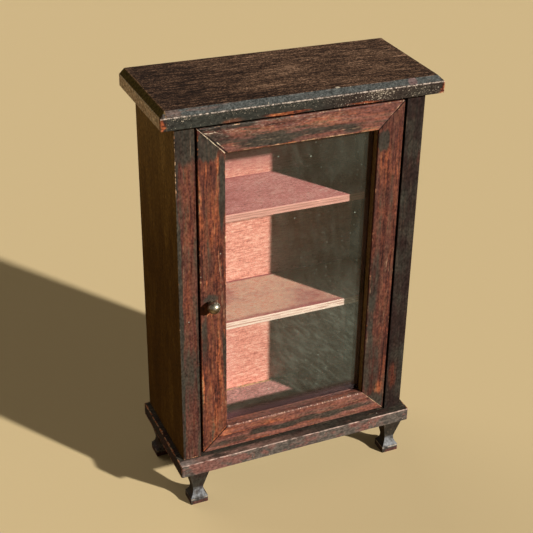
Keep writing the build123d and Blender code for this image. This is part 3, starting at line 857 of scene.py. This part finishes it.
# Brighter dust spots, partly a painted reflection of the floor
DUST_AND_REFLECTION_SPOTS = [front(15, 64, 26, 24, 0.024), front(21, 150, 12, 9, 0.012)]


def clear_pane(tree):
    """Clear, faintly wavy glass, which lets shadow rays and bounced light straight through."""
    waves = tree.noise(tree.place, 16.0, 2.2, detail=2)
    clear = tree.out("BsdfPrincipled", {
        "Base Color": CLEAR, "Roughness": 0.0, "IOR": 1.5, "Transmission Weight": 1.0,
        "Normal": tree.bump(waves, 0.05, 1.0)})
    rays = tree.rays()
    passed = tree.mix(rays["Is Diffuse Ray"], PASSED_LIGHT, PASSED_BOUNCE)
    passing = tree.out("BsdfTransparent", {"Color": passed})
    straight = tree.larger(rays["Is Shadow Ray"], rays["Is Diffuse Ray"])
    return tree.out("MixShader", {0: straight, 1: clear, 2: passing})


def dust_and_painted_reflection(tree):
    """How much dust covers the glass, and its colour: thin dust, specks and slanting streaks, and
    pinkish grime along the glass's foot. The thin dust, its spots, its greenish tint and the
    slanting streaks are partly a painted reflection of the floor."""
    smear_place = tree.vector("MULTIPLY", tree.place, (1, 1, 0.5))
    smear = tree.noise(smear_place, 7.0, 8.1, detail=6, roughness=0.7, distortion=1.2)
    specks = tree.total(
        tree.times(tree.flecks(7.0, 0.32, 0.5, 1.0), 0.42),
        tree.times(tree.flecks(2.4, 0.24, 0.5, 5.0), 0.18))
    along = tree.times(tree.minus(tree.x, tree.z), 0.22)
    slanted = tree.out("CombineXYZ", {0: tree.math("ADD", tree.x, tree.z), 1: along})
    # Painted reflection of the floor: slanting streaks low on the glass
    streaks = tree.noise(slanted, 2.6, 3.1, detail=4, roughness=0.65, distortion=1.2)
    streaks = tree.times(
        tree.rise(streaks, 0.42, 0.68), tree.rise(tree.z, 100, 70, top=0.034),
        tree.rise(tree.x, -22, 0))
    dust = tree.total(
        tree.rise(smear, 0.40, 0.72, top=0.022), 0.010,
        tree.times(tree.patches(DUST_AND_REFLECTION_SPOTS, softness=0.6), 0.7), streaks, specks)
    grime = tree.total(0.016, tree.patches(GRIME_SPOT), specks)
    foot = tree.rise(tree.z, GRIME_TOP, GRIME_FULL)
    cover = tree.total(tree.times(dust, tree.minus(1.0, foot)), tree.times(foot, grime))
    return cover, tree.mix(foot, GLASS_DUST_AND_REFLECTION, GRIME)


def dusty_glass():
    tree = MaterialTree("clear_glass")
    cover, colour = dust_and_painted_reflection(tree)
    dust = tree.out("BsdfDiffuse", {"Color": colour})
    return tree.finish(tree.out("MixShader", {0: cover, 1: clear_pane(tree), 2: dust}))


# ---- Metal and bare wood ----
BRASS = dict(bright=srgb(196, 190, 172), dull=srgb(112, 102, 80), roughness=0.22, size=1.6)
STEEL = dict(bright=srgb(190, 190, 192), dull=srgb(140, 138, 136), roughness=0.30, size=0.8)
DOWEL_DARK, DOWEL_PALE = srgb(176, 138, 96), srgb(222, 192, 150)


def metal(name, bright, dull, roughness, size):
    """Metal with dull, rougher spots of a size."""
    tree = MaterialTree(name)
    tarnish = tree.noise(tree.place, size, 3.3, detail=5, roughness=0.6)
    return tree.finish(tree.out("BsdfPrincipled", {
        "Base Color": tree.mix(tree.rise(tarnish, 0.38, 0.62), bright, dull), "Metallic": 1.0,
        "Roughness": tree.line(tarnish, 0.25, roughness)}))


def bare_dowel():
    tree = MaterialTree("bare_dowel")
    fibre = tree.noise(tree.drawn("z"), 0.5, 1.0, detail=4)
    return tree.finish(tree.out("BsdfPrincipled", {
        "Base Color": tree.mix(fibre, DOWEL_DARK, DOWEL_PALE), "Roughness": 0.7}))


# ---- Dressing the nodes ----
def dress(material, *names):
    """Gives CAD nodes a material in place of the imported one."""
    for name in names:
        materials = nodes[name].data.materials
        materials.clear()
        materials.append(material)


for number, (node, looks) in enumerate(WOOD.items()):
    dress(stained_wood(node, seed=11.0 * number, **looks), node)
dress(pink_board("back_panel", BACK_PINKS, 5.0, 0.85, back_faces), "back_panel")
for node, looks in SHELVES.items():
    dress(shelf(node, **looks), node)
dress(dusty_glass(), "door_glass")
dress(metal("aged_brass", **BRASS), "knob", "lower_hinge_washer")
dress(metal("steel_pin", **STEEL), "upper_hinge_pin", "lower_hinge_pin", "door_corner_pins",
      "base_board_pins", "foot_pins", "back_panel_pins")
dress(bare_dowel(), "top_board_dowels")


# ---- Floor, light and camera. Angles are in degrees ----
FLOOR_SIZE = 8000.0
FLOOR_COLOUR = srgb(226, 203, 158)
FLOOR_BOUNCE = srgb(138, 102, 58)
FLOOR_GLOSS_DIMMING = 0.8
SUN = dict(
    shines_from=Vector((0.50, -0.76, 0.42)), strength=4.9, angle=2.0, colour=(1.0, 0.96, 0.88))
BACK_LIGHT = dict(
    shines_from=Vector((-0.7, 1.9, 0.5)), strength=1.3, angle=60.0, colour=(1.0, 0.93, 0.82))
FILL_COLOUR = (1.0, 0.86, 0.62, 1)
FILL = 0.06
BACKGROUND_COLOUR = (0.96, 0.94, 0.90, 1)
BACKGROUND = 0.9
GLOSS_SHARE = 0.3
CAMERA_PLACE = Vector((-173.44, -387.41, 330.43))
CAMERA_TURN = (59.374, -2.245, -25.650)
CAMERA_LENS = 78.692
CAMERA_SHIFT = (-0.119, 0.059)
CAMERA_CLIP_START = 10.0


def pale_floor():
    """The floor's look, darker to the object's diffuse and glossy rays than to the camera."""
    tree = MaterialTree("pale_floor")
    rays = tree.rays()
    dimmed = tree.math("MULTIPLY_ADD", rays["Is Glossy Ray"], FLOOR_GLOSS_DIMMING,
                       rays["Is Diffuse Ray"], clamp=True)
    colour = tree.mix(dimmed, FLOOR_COLOUR, FLOOR_BOUNCE)
    return tree.finish(tree.out("BsdfDiffuse", {"Color": colour}))


def studio_world():
    """A faint warm fill, with a pale background that reflections show more weakly."""
    tree = Tree(bpy.data.worlds.new("studio"), "World")
    rays = tree.rays()
    weak = tree.line(rays["Is Glossy Ray"], GLOSS_SHARE, rays["Is Transmission Ray"])
    seen = tree.math("ADD", rays["Is Camera Ray"], weak, clamp=True)
    fill = tree.out("Background", {"Color": FILL_COLOUR, "Strength": FILL})
    shown = tree.out("Background", {"Color": BACKGROUND_COLOUR, "Strength": BACKGROUND})
    return tree.finish(tree.out("MixShader", {0: seen, 1: fill, 2: shown}))


def place_in_scene(name, data):
    """A new object in the scene, from its data."""
    thing = bpy.data.objects.new(name, data)
    bpy.context.scene.collection.objects.link(thing)
    return thing


def lamp(name, shines_from, strength, angle, colour):
    """A distant lamp, as wide in the sky as its angle."""
    light = place_in_scene(name, bpy.data.lights.new(name, "SUN"))
    light.data.energy = strength
    light.data.angle = math.radians(angle)
    light.data.color = colour
    light.rotation_euler = shines_from.to_track_quat("Z", "Y").to_euler()
    return light


bpy.ops.mesh.primitive_plane_add(size=FLOOR_SIZE * MM)
floor = bpy.context.object
floor.name = "floor"
floor.data.materials.append(pale_floor())

lamp("key_light", **SUN)
lamp("back_light", **BACK_LIGHT).visible_glossy = False
bpy.context.scene.world = studio_world()

camera = place_in_scene("camera", bpy.data.cameras.new("camera"))
camera.location = CAMERA_PLACE * MM
camera.rotation_euler = [math.radians(angle) for angle in CAMERA_TURN]
camera.data.lens = CAMERA_LENS
camera.data.shift_x, camera.data.shift_y = CAMERA_SHIFT
camera.data.clip_start = CAMERA_CLIP_START * MM
bpy.context.scene.camera = camera
bpy.context.scene.view_settings.view_transform = "Standard"
